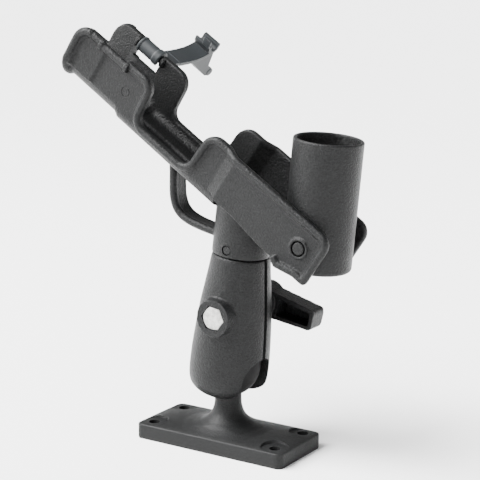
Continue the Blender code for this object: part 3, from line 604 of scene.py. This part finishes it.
def make_arm_half(name, side, body, node):
    """One half of the clamshell: side is -1 for the half with the bolt's head, 1 for the knob's half."""
    half = turned(arm_profile(), 128)
    if side > 0:
        half.data.transform(Matrix.Translation((0, REAR_SHIFT, 0)))
    face = FRONT_BOSS if side < 0 else REAR_BOSS
    near, far = (-face, 0.0) if side < 0 else (0.0, face)
    centre = (0, 0, joint_height("knob_turn"))
    boss = cylinder(BOSS_RADIUS, near, far, 'Y', centre)
    collar = cylinder(BOSS_RADIUS + 1.9 * MM, side * 15 * MM, side * (face - 2.2 * MM), 'Y', centre,
                      end_radius=BOSS_RADIUS + 0.2 * MM)
    reach = 60 * MM
    low, high = (FRONT_SPLIT, reach) if side < 0 else (-reach, REAR_SPLIT)
    half = moulded([half, boss, collar], 0.5 * MM, 5)
    cut(half, box((-reach, low, -reach), (reach, high, 2 * reach)),
        sphere(SOCKET_RADIUS),
        cylinder(MOUTH_RADIUS, -30 * MM, -8 * MM))
    notch = rounded([(-NOTCH_HALF_WIDTH, -40 * MM, 0), (NOTCH_HALF_WIDTH, -40 * MM, 0),
                     (NOTCH_HALF_WIDTH, NOTCH_TOP, NOTCH_CORNER),
                     (-NOTCH_HALF_WIDTH, NOTCH_TOP, NOTCH_CORNER)], 16)
    post_socket = cylinder(10.95 * MM, 47 * MM, 75 * MM)
    post_flange = cylinder(13.0 * MM, 46.0 * MM, 50.0 * MM)
    spring_pocket = cylinder(9.3 * MM, -9.5 * MM, 9.5 * MM, 'Y', centre)
    cut(half, extruded(notch, 'YZ', 6 * MM, 40 * MM), post_socket, post_flange, spring_pocket,
        cylinder(BOLT_RADIUS + 0.3 * MM, -40 * MM, 40 * MM, 'Y', centre, 48))
    if side < 0:
        recess = HEAD_THICKNESS + 0.6 * MM
        pocket = hexagon(HEAD_FLATS + 0.7 * MM, -face - 5 * MM, -face + recess)
        pocket.data.transform(Matrix.Translation(centre))
        cut(half, pocket)
    piece(half, name, body, COMPOSITE, node, matrix=ARM, sharp=45)


def make_bolt():
    """A hexagon head with its chamfered crown, and the shank."""
    front = -FRONT_BOSS + 0.3 * MM
    head = hexagon(HEAD_FLATS, front, front + HEAD_THICKNESS)
    limit = turned([(0, 0), (6.1 * MM, 0), (7.7 * MM, 0.9 * MM), (7.7 * MM, 7 * MM), (0, 7 * MM)], 96)
    limit.data.transform(Matrix.Translation((0, front, 0)) @ Matrix.Rotation(-math.pi / 2, 4, 'X'))
    common(head, limit)
    piece(head, "bolt_head", "arm", STEEL, "clamp_bolt", matrix=BOLT, sharp=30)
    start = front + HEAD_THICKNESS
    profile = [(0, BOLT_END), (BOLT_RADIUS - 0.8 * MM, BOLT_END), (BOLT_RADIUS, BOLT_END - 0.8 * MM)]
    thread_end = BOLT_END - 1.2 * MM
    for turn in range(THREAD_TURNS):
        top = thread_end - turn * THREAD_PITCH
        profile += [(BOLT_RADIUS, top), (BOLT_RADIUS - 0.7 * MM, top - 0.6 * MM)]
    profile += [(BOLT_RADIUS, thread_end - THREAD_TURNS * THREAD_PITCH), (BOLT_RADIUS, start), (0, start)]
    shank = turned(profile, 48)
    shank.data.transform(Matrix.Rotation(-math.pi / 2, 4, 'X'))
    piece(shank, "bolt_shank", "arm", STEEL, matrix=BOLT, sharp=30)


def make_knob():
    """A hub with two hollow wings that taper and sweep back from the arm."""
    root, tip = 8.8 * MM, 6.4 * MM
    hollow_start, hollow_end, corner = 12.5 * MM, WING_LENGTH - 2.2 * MM, 1.5 * MM
    outline = rounded([(-WING_LENGTH, -tip, 2.6 * MM), (0, -root, 22 * MM), (WING_LENGTH, -tip, 2.6 * MM),
                       (WING_LENGTH, tip, 2.6 * MM), (0, root, 22 * MM), (-WING_LENGTH, tip, 2.6 * MM)])
    wings = extruded(outline, 'XZ', KNOB_START + 2.6 * MM, KNOB_END)
    hub = cylinder(10.6 * MM, KNOB_START, KNOB_END + 0.9 * MM, 'Y')
    knob = moulded([wings, hub], 0.5 * MM, 4)
    hollows = []
    for side in (-1, 1):
        inner = [(side * hollow_start, -root + 3.4 * MM, corner),
                 (side * hollow_end, -tip + 2.1 * MM, corner),
                 (side * hollow_end, tip - 2.1 * MM, corner),
                 (side * hollow_start, root - 3.4 * MM, corner)]
        hollows.append(extruded(rounded(inner), 'XZ', KNOB_START - 2 * MM, KNOB_END - 2.4 * MM))
    cut(knob, *hollows,
        hexagon(HEAD_FLATS + 0.6 * MM, KNOB_START - 2 * MM, KNOB_START + 7.8 * MM),
        cylinder(BOLT_RADIUS + 0.5 * MM, KNOB_START, KNOB_END - 2 * MM, 'Y', (0, 0, 0), 32))
    piece(knob, "wing_knob", "knob", COMPOSITE, "clamp_knob", matrix=KNOB, sharp=45)


# ---------------------------------------------------------------- cradle

TOP_EDGE = [(x * MM, z * MM, r * MM) for x, z, r in (
    (-142.0, 9.0, 0), (-145.3, 18.0, 4), (-145.3, 36.6, 10), (-83.4, 36.6, 9), (-82.2, 9.8, 6.5),
    (-40.5, 9.8, 6.5), (-38.5, 38.2, 9.5), (59.8, 38.2, 8), (59.8, 6.2, 2.5), (51.0, 6.2, 3))]
LOWER_EDGE = [(x * MM, z * MM, r * MM) for x, z, r in (
    (38.5, 2.8, 2), (33.8, 5.6, 2), (24.0, 5.6, 8), (2.0, 7.8, 8), (-15.4, 7.8, 0), (-15.4, 9.0, 0))]


def wall_plan(side):
    inner, outer = SADDLE_HALF - WALL, SADDLE_HALF
    points = [(-145.3, inner + 1.7 * MM), (-128, inner + 1.1 * MM), (-121.5, inner), (-23.4, inner),
              (-15.4, TAIL_GAP), (60.5, TAIL_GAP), (60.5, TAIL_FACE), (-14.6, TAIL_FACE), (-22.2, outer),
              (-121.9, outer), (-122.3, outer + 1.3 * MM), (-145.3, outer + 1.9 * MM)]
    return [(x * MM, side * y) for x, y in points]


def wall_y(x):
    """The wall's outer face at x."""
    if x < -122 * MM:
        return SADDLE_HALF + 1.4 * MM
    if x < STEP_START:
        return SADDLE_HALF
    if x > -14.6 * MM:
        return TAIL_FACE
    return SADDLE_HALF + (TAIL_FACE - SADDLE_HALF) * (x - STEP_START) / (7.6 * MM)


def channel(floor, corner=8.0 * MM):
    """The channel's U section."""
    outer, inner = SADDLE_HALF, SADDLE_HALF - WALL
    rim = floor + corner + 0.5 * MM
    inside = corner - WALL
    return ([(outer, rim)] + arc((outer - corner, floor + corner), corner, 0, -90, 12)
            + arc((-outer + corner, floor + corner), corner, -90, -180, 12)
            + [(-outer, rim), (-inner, rim)]
            + arc((-inner + inside, floor + WALL + inside), inside, 180, 270, 10)
            + arc((inner - inside, floor + WALL + inside), inside, 270, 360, 10) + [(inner, rim)])


def edge_path(side, edge, depth, proud):
    """Points along an edge of a wall, depth inside it and proud of the wall's outer face."""
    dense = []
    for (x, z), (next_x, next_z) in zip(edge, edge[1:]):
        length = math.hypot(next_x - x, next_z - z)
        count = max(1, int(length / (1.5 * MM)))
        dense += [(x + (next_x - x) * k / count, z + (next_z - z) * k / count) for k in range(count)]
    dense.append(edge[-1])
    path = []
    for index, (x, z) in enumerate(dense):
        after, before = dense[min(index + 1, len(dense) - 1)], dense[max(index - 1, 0)]
        normal = Vector((after[1] - before[1], 0, before[0] - after[0])).normalized()
        path.append(Vector((x, side * (wall_y(x) + proud), z)) + normal * depth)
    return path


def edge_beads():
    """Rolled rims along the outer side of the walls' edges, thicker round the mouth."""
    made = []
    edge = rounded(TOP_EDGE + LOWER_EDGE[:2], 10, closed=False)
    front = [point for point in rounded(TOP_EDGE[:4], 10, closed=False) if point[0] < -131 * MM][1:]
    mouth = []
    for side in (-1, 1):
        made.append(rod(edge_path(side, edge, 2.1 * MM, 0.1 * MM), 2.35 * MM, 16))
        rim = edge_path(side, front, 2.0 * MM, 0.6 * MM)
        mouth.append(rim if side > 0 else rim[::-1])
    half = SADDLE_HALF + 2.0 * MM
    low, corner = 3.1 * MM, 9.0 * MM
    under = arc((half - corner, low + corner), corner, 0, -90, 10)
    under += [(-y, z) for y, z in under[::-1]]
    base = [Vector((-143.3 * MM + 0.2 * (low + corner - z), y, z)) for y, z in under]
    made.append(rod(mouth[0] + base[::-1] + mouth[1], 2.6 * MM, 16))
    return made


def make_cradle():
    walls = []
    for side in (-1, 1):
        wall = extruded(wall_plan(side), 'XY', -4 * MM, 44 * MM)
        low, high = sorted((0.0, side * 40 * MM))
        common(wall, extruded(rounded(TOP_EDGE + LOWER_EDGE), 'XZ', low, high))
        walls.append(wall)
    saddle_floor = extruded(channel(2.2 * MM, corner=9.0 * MM), 'YZ', -142 * MM, -96 * MM)
    trough_floor = extruded(channel(0.5 * MM), 'YZ', -98 * MM, STEP_END)
    kink = extruded(channel(1.3 * MM, corner=8.5 * MM), 'YZ', -100 * MM, -94 * MM)

    post = cylinder(POST_RADIUS, ARM_TOP + 0.4 * MM - CRADLE_HEIGHT, 12 * MM, steps=128)
    post.data.transform(Matrix.Rotation(-CRADLE_TILT, 4, 'Y'))
    shelf_start = STEP_END - 1 * MM
    shelf = extruded([(shelf_start, 8.1 * MM), (2 * MM, 8.1 * MM), (24 * MM, 5.9 * MM), (24 * MM, 14 * MM),
                      (shelf_start, 14 * MM)], 'XZ', -21.7 * MM, 21.7 * MM)
    post = moulded([post, shelf], 0.6 * MM, 1)
    folded_end = -15.0 * MM
    cut(post, cylinder(TUBE_RADIUS + 0.45 * MM, folded_end, 70 * MM, 'X', (0, 0, PIN.z), 128),
        box((folded_end, -TAIL_GAP, PIN.z - 4 * MM), (70 * MM, TAIL_GAP, 70 * MM)),
        box((-70 * MM, -15 * MM, 2.4 * MM), (folded_end + 0.1 * MM, 15 * MM, 70 * MM)))

    line = [from_arm(x, z) for x, z in ((-50.6, 117), (-49.2, 108), (-48.4, 100), (-47.2, 93), (-44.6, 87.4),
                                        (-40.5, 83.6), (-35, 81.4), (-28, 80.0), (-21, 79.2), (-13, 78.6))]
    curve = [tuple(p) for p in spline(line, 4)]
    loop = extruded(band(curve, 4.4 * MM), 'XZ', -5.4 * MM, 5.4 * MM)
    loop_rims = [rod([Vector((x, side * 4.6 * MM, z)) for x, z in curve], 2.5 * MM, 12) for side in (-1, 1)]
    ridge = rod([(-96 * MM, 0, 4.0 * MM), (-30 * MM, 0, 4.0 * MM)], 1.3 * MM, 12)

    rings = []
    for side in (-1, 1):
        start, end = sorted((side * (TAIL_HALF - 1 * MM), side * (TAIL_HALF + 0.2 * MM)))
        rings.append(cylinder(5.9 * MM, start, end, 'Y', (PIN.x, 0, PIN.z)))
        rings.append(torus(5.3 * MM, 0.75 * MM, (PIN.x, side * (TAIL_HALF + 0.15 * MM), PIN.z)))
    body = moulded(walls + [saddle_floor, trough_floor, kink, post, loop, ridge] + loop_rims
                   + edge_beads() + rings, 0.55 * MM, 4)

    cutters = [box((WINDOW[0], 10 * MM, 24 * MM), (WINDOW[1], 30 * MM, 60 * MM)),
               box((WINDOW[0], -30 * MM, BAR.z), (WINDOW[1], -10 * MM, 60 * MM))]
    for side in (-1, 1):
        low, high = sorted((side * 15 * MM, side * 30 * MM))
        cutters.append(cylinder(4.6 * MM, low, high, 'Y', (PIN.x, 0, PIN.z), 64))
    bore = cylinder(COLLAR_BORE, -30 * MM, 81 * MM - CRADLE_HEIGHT)
    bore.data.transform(Matrix.Rotation(-CRADLE_TILT, 4, 'Y'))
    cutters.append(bore)
    x, z = from_arm(0, POST_PIN_HEIGHT)
    cutters.append(cylinder(3.0 * MM, -19 * MM, 19 * MM, 'Y', (x, 0, z), 48))
    x, z = from_arm(-78.9, 151.3)
    for side in (-1, 1):
        cutters.append(torus(2.75 * MM, 0.4 * MM, (x, side * (SADDLE_HALF + 0.1 * MM), z)))
    cut(body, *cutters)
    piece(body, "cradle_body", "head", COMPOSITE, "cradle", matrix=CRADLE, sharp=50)

    for y, tag, lug in ((NEAR_BAR_Y, "near", 3.3 * MM), (BAR.y, "far", 3.9 * MM)):
        solids = [cylinder(BAR_RADIUS, WINDOW[0] - 2 * MM, WINDOW[1] + 2 * MM, 'X', (0, y, BAR.z), 48)]
        for start in (WINDOW[0] - 2.2 * MM, WINDOW[1] - 0.4 * MM):
            solids.append(cylinder(lug, start, start + 2.6 * MM, 'X', (0, y, BAR.z), 48))
        piece(moulded(solids, 0.35 * MM, 3), "latch_bar_" + tag, "head", COMPOSITE, matrix=CRADLE)


# ---------------------------------------------------------------- tube and pins

def make_tube():
    top, low = TUBE_TOP, TUBE_BOTTOM
    middle = (TUBE_RADIUS + TUBE_BORE) / 2
    lip = 15.5 * MM
    rim = arc((middle, top - 1.1 * MM), 1.1 * MM, 90, 0, 8)
    rim = [(x if x <= TUBE_RADIUS else TUBE_RADIUS, z) for x, z in rim]
    foot = arc((TUBE_RADIUS - 2.2 * MM, low + 2.2 * MM), 2.2 * MM, 0, -90, 8)
    back = [(lip + 0.4 * MM, low), (lip, low + 0.4 * MM), (lip, low + 2.0 * MM),
            (lip + 0.4 * MM, low + 2.4 * MM), (TUBE_BORE, low + 2.4 * MM)]
    inner_rim = arc((middle, top - 1.1 * MM), 1.1 * MM, 180, 90, 8)
    side = [(TUBE_RADIUS, top - 1.1 * MM - step * (top - low - 3.3 * MM) / 24) for step in range(1, 24)]
    profile = rim + side + foot + back + inner_rim
    tube = turned(profile, 160)
    cut(tube, cylinder(2.7 * MM, -25 * MM, 25 * MM, 'Y', (0, 0, 0), 48))
    piece(tube, "butt_tube_body", "tube", COMPOSITE, "butt_tube", matrix=TUBE, sharp=50)


def make_pins():
    for side, tag in ((-1, "near"), (1, "far")):
        outer, shoulder, inner_end = TAIL_HALF + 0.7 * MM, TAIL_GAP + 0.1 * MM, 15.6 * MM
        head = turned([(0, outer)] + arc((3.0 * MM, outer - 0.6 * MM), 0.6 * MM, 90, 0, 6)
                      + [(3.6 * MM, shoulder), (2.4 * MM, shoulder),
                         (2.4 * MM, inner_end), (0, inner_end)], 64)
        head.data.transform(Matrix.Rotation(-side * math.pi / 2, 4, 'X'))
        piece(head, "pin_head_" + tag, "tube", COMPOSITE, "pivot_pin_" + tag, matrix=TUBE, sharp=40)


# ---------------------------------------------------------------- latch

def hook_ring(centre, outer, inner, turn, ends):
    """An open ring from one angle to the other, between two places along X."""
    first, last = turn
    return extruded(arc(centre, outer, first, last, 32) + arc(centre, inner, last, first, 32), 'YZ', *ends)


def strap_solid(points):
    """The strap along (y, z) points in millimetres."""
    line = spline([(y * MM, z * MM) for y, z in points], 5)
    return extruded(band(line, STRAP_THICKNESS), 'YZ', *STRAP_ENDS)


def make_latch():
    start, end = STRAP_ENDS
    clip_start, clip_end = WINDOW[0] + 1.5 * MM, WINDOW[1] - 1.5 * MM
    clip_turn = (-48, 226)
    middle = FLEX.z / MM - 1.3
    barrel = hook_ring((BAR.y, BAR.z), 4.8 * MM, 2.8 * MM, clip_turn, (clip_start, clip_end))
    strap = strap_solid([(21.3, 31.6), (24.5, 29.6), (29, 27.7), (34, 26.7), (39, middle), (43.85, middle)])
    collars = [hook_ring((BAR.y, BAR.z), 5.3 * MM, 2.8 * MM, clip_turn, ends)
               for ends in ((clip_start, clip_start + 1.6 * MM), (clip_end - 4.2 * MM, clip_end))]
    clip = moulded([barrel, strap] + collars, 0.33 * MM, 2)
    piece(clip, "latch_strap_root", "latch_root", NYLON, "latch_clip", matrix=CRADLE, sharp=55)

    strap = strap_solid([(44.15, middle), (50, 26.4), (56, 26.8), (62, 27.6), (67, 28.9), (71, 30.5),
                         (75.0, 32.3)])
    claw = hook_ring((74.5 * MM, 36.9 * MM), 5.3 * MM, 2.9 * MM, (-186, 27), STRAP_ENDS)
    tab = [(y * MM, z * MM, r * MM) for y, z, r in (
        (59, 25.6, 1), (84.5, 12.6, 2), (90.2, 13.2, 2.2), (88.6, 18.3, 2), (82.4, 20.6, 3), (79.2, 31.5, 2),
        (76.5, 33.0, 1), (66, 28.3, 1))]
    thumb = extruded(rounded(tab, 6), 'YZ', start + 1 * MM, end - 1 * MM)
    end_bead = cylinder(2.7 * MM, start + 0.6 * MM, end - 0.6 * MM, 'X', (0, 87.6 * MM, 15.4 * MM), 32)
    horn_line = [(68.4 * MM, 36.2 * MM), (66.9 * MM, 41.6 * MM)]
    horn = extruded(band(horn_line, 1.3 * MM), 'YZ', start + 7 * MM, end)
    hook = moulded([strap, claw, thumb, end_bead, horn], 0.33 * MM, 2)
    piece(hook, "latch_strap_end", "latch_end", NYLON, "latch_hook", matrix=CRADLE, sharp=55)


# ---------------------------------------------------------------- carried-over CAD pieces

def finish_frame_nodes():
    looks = {"clamp_spring": SPRING, "knob_washer": ACETAL, "knob_nut": BRASS, "spline_post": COMPOSITE,
             "post_pin": COMPOSITE, "push_nut_near": SPRING, "push_nut_far": SPRING}
    for name, look in looks.items():
        node = frame["nodes"][name]
        node.data.materials.clear()
        node.data.materials.append(look)


# ---------------------------------------------------------------- studio

def add_light(name, kind, direction, power):
    """A light that shines along direction."""
    data = bpy.data.lights.new(name, kind)
    data.energy = power
    made = bpy.data.objects.new(name, data)
    made.rotation_euler = Vector(direction).to_track_quat('-Z', 'Y').to_euler()
    bpy.context.scene.collection.objects.link(made)
    return made


def area_light(name, location, width, power):
    """A square soft box that faces the middle of the object."""
    middle = Vector((0, 0, 0.12))
    made = add_light(name, 'AREA', middle - Vector(location), power)
    made.data.shape = 'RECTANGLE'
    made.data.size = made.data.size_y = width
    made.location = location


def make_studio():
    floor = mesh_object("studio_floor", lambda bm: bmesh.ops.create_grid(
        bm, x_segments=1, y_segments=1, size=30.0))
    made, _, _, shader = new_material("pale_floor")
    shader.inputs["Base Color"].default_value = (0.94, 0.94, 0.94, 1)
    shader.inputs["Roughness"].default_value = 0.9
    floor.data.materials.append(made)
    world = bpy.data.worlds.new("studio")
    world.use_nodes = True
    nodes, links = world.node_tree.nodes, world.node_tree.links
    height = nodes.new("ShaderNodeSeparateXYZ")
    links.new(nodes.new("ShaderNodeTexCoord").outputs["Generated"], height.inputs["Vector"])
    sky = ramp_node(nodes, links, height.outputs["Z"], [(0.10, grey(1.0)), (0.22, grey(0.16))])
    links.new(sky.outputs["Color"], nodes["Background"].inputs["Color"])
    nodes["Background"].inputs["Strength"].default_value = 2.6
    bpy.context.scene.world = world
    area_light("key", (-0.95, -0.45, 0.70), 0.6, 22)
    area_light("fill", (0.9, -0.5, 0.4), 0.7, 3)
    sun = add_light("sky", 'SUN', (0.50, 0.50, -0.95), 17.0)
    sun.data.angle = math.radians(45)


def make_camera():
    azimuth, pitch, roll = math.radians(32.168), math.radians(12.099), math.radians(0.659)
    data = bpy.data.cameras.new("camera")
    data.lens = 114.0
    data.sensor_width = 36.0
    camera = bpy.data.objects.new("camera", data)
    place = Matrix.Translation((0.467119, -0.731593, 0.310386))
    forward = Vector((-math.sin(azimuth) * math.cos(pitch), math.cos(azimuth) * math.cos(pitch),
                      -math.sin(pitch)))
    turn = forward.to_track_quat('-Z', 'Y').to_matrix().to_4x4()
    camera.matrix_world = place @ turn @ Matrix.Rotation(roll, 4, 'Z')
    bpy.context.scene.collection.objects.link(camera)
    bpy.context.scene.camera = camera


make_base()
make_ball_cover()
make_arm_half("arm_front_shell", -1, "arm", "arm_front_half")
make_arm_half("arm_rear_shell", 1, "rear_clamp", "arm_rear_half")
make_bolt()
make_knob()
make_cradle()
make_tube()
make_pins()
make_latch()
finish_frame_nodes()
make_studio()
make_camera()
